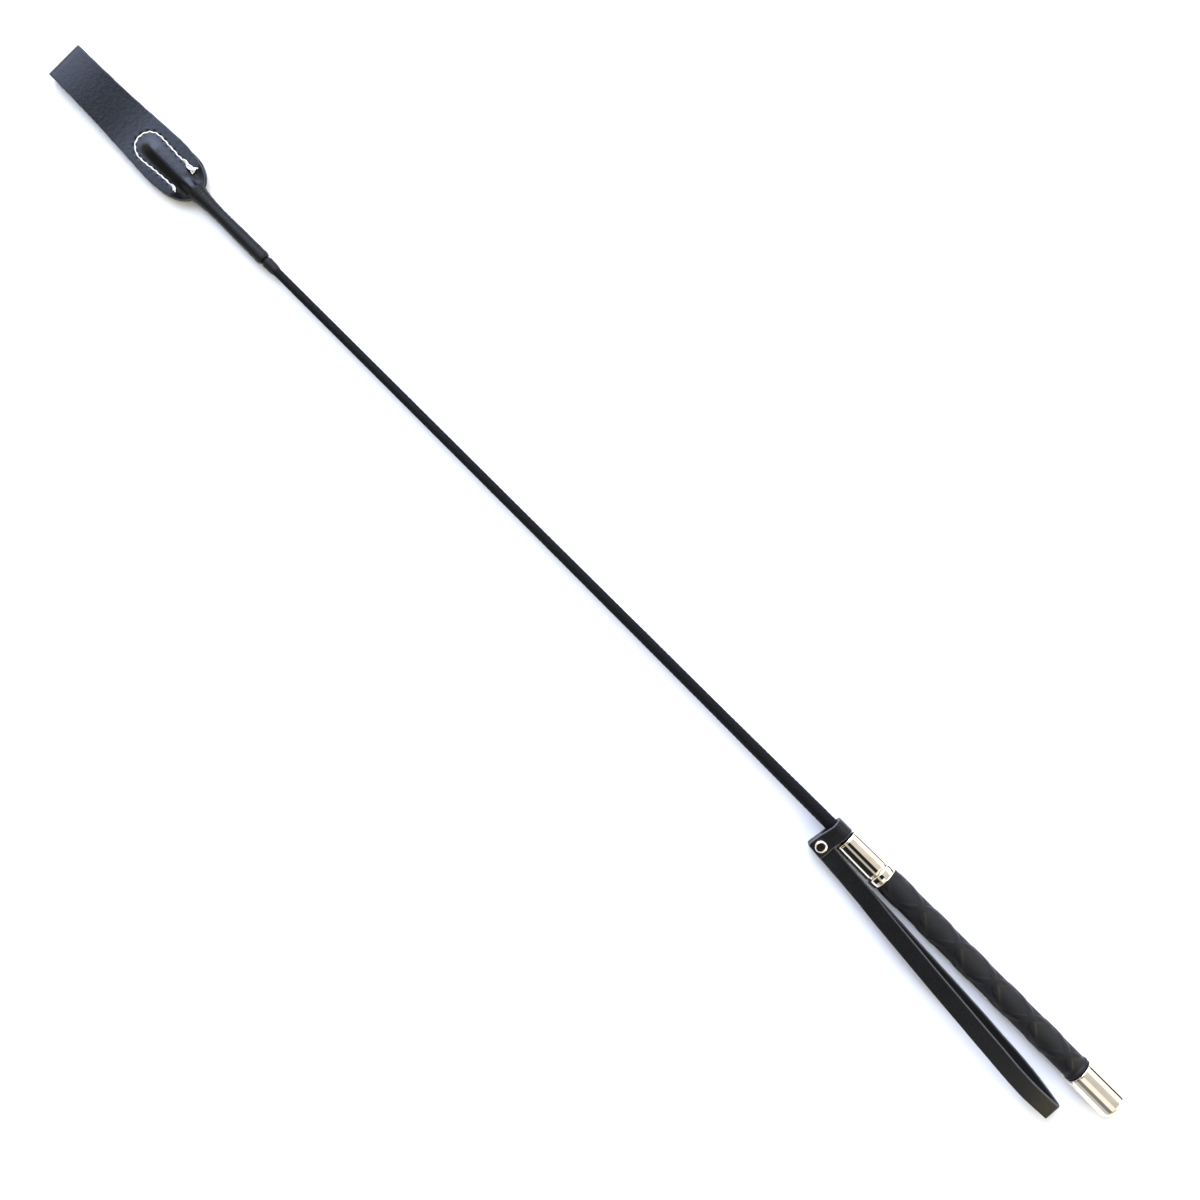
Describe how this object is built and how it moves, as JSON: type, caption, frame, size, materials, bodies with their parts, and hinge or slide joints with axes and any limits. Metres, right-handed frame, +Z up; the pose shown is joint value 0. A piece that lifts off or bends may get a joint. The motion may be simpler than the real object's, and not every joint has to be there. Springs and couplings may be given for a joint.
{
  "type": "riding crop",
  "caption": "Riding crop: slim braided shaft, capped round grip, wrist loop riveted to a turning leather collar, and a folded leather keeper stitched and whipped to the tip.",
  "frame": {"origin": "centre of the butt cap's flat end face", "axes": "+X along the shaft towards the keeper's fold; +Z up, square to the keeper's flat face; the wrist strap lies on the +Y side"},
  "size_m": [0.66, 0.0374, 0.0144],
  "materials": {
    "fibreglass": "satin, fibres along the rod",
    "braid": "braided nylon, slight sheen",
    "dowel_wood": "plain turned hardwood",
    "black_plastic": "moulded",
    "nickel": "polished, warm",
    "grip_rubber": "matte, with low crossed bands",
    "keeper_leather": "smooth, satin",
    "strap_leather": "smooth, satin, grey cut edges",
    "white_thread": "waxed twisted thread",
    "black_thread": "waxed, glossy"
  },
  "bodies": {
    "handle": {"core_rod_butt": "fibreglass", "braid_butt": "braid", "handle_dowel": "dowel_wood", "ferrule_bush": "black_plastic", "front_ferrule": "nickel", "ferrule_ring": "nickel", "grip_sleeve": "grip_rubber", "butt_cap": "nickel", "cap_insert": "black_plastic"},
    "tip": {"core_rod_tip": "fibreglass", "braid_tip": "braid", "rod_tip_cap": "black_plastic", "keeper_base": "keeper_leather", "keeper_stitching": "white_thread", "stitch_knots": "white_thread", "neck_whipping": "black_thread", "tail_whipping": "black_thread"},
    "tongue": {"keeper_tongue": "keeper_leather"},
    "collar": {"loop_collar": "strap_leather", "rivet_cap": "nickel", "rivet_post": "nickel"},
    "strap_root": {"strap_ends": "strap_leather"},
    "strap": {"strap_loop": "strap_leather"}
  },
  "joints": [
    {"name": "shaft_flex", "type": "hinge", "parent": "handle", "child": "tip", "pos_m": [0.34765, 0, 0], "axis": [0, 1, 0], "range_deg": [-20, 20], "stiffness_Nm_per_rad": 1.5},
    {"name": "keeper_flex", "type": "hinge", "parent": "tip", "child": "tongue", "pos_m": [0.619, 0, 0], "axis": [0, 1, 0], "range_deg": [-35, 35], "stiffness_Nm_per_rad": 0.02},
    {"name": "collar_swivel", "type": "hinge", "parent": "handle", "child": "collar", "pos_m": [0.1732, 0, 0], "axis": [1, 0, 0], "continuous": true},
    {"name": "strap_pivot", "type": "hinge", "parent": "collar", "child": "strap_root", "pos_m": [0.17462, 0.0101, 0], "axis": [0, 0, 1], "range_deg": [-170, 1]},
    {"name": "strap_flex", "type": "hinge", "parent": "strap_root", "child": "strap", "pos_m": [0.16504, 0.01077, 0], "axis": [0.0698, 0.9976, 0], "range_deg": [-45, 45], "stiffness_Nm_per_rad": 0.01}
  ]
}
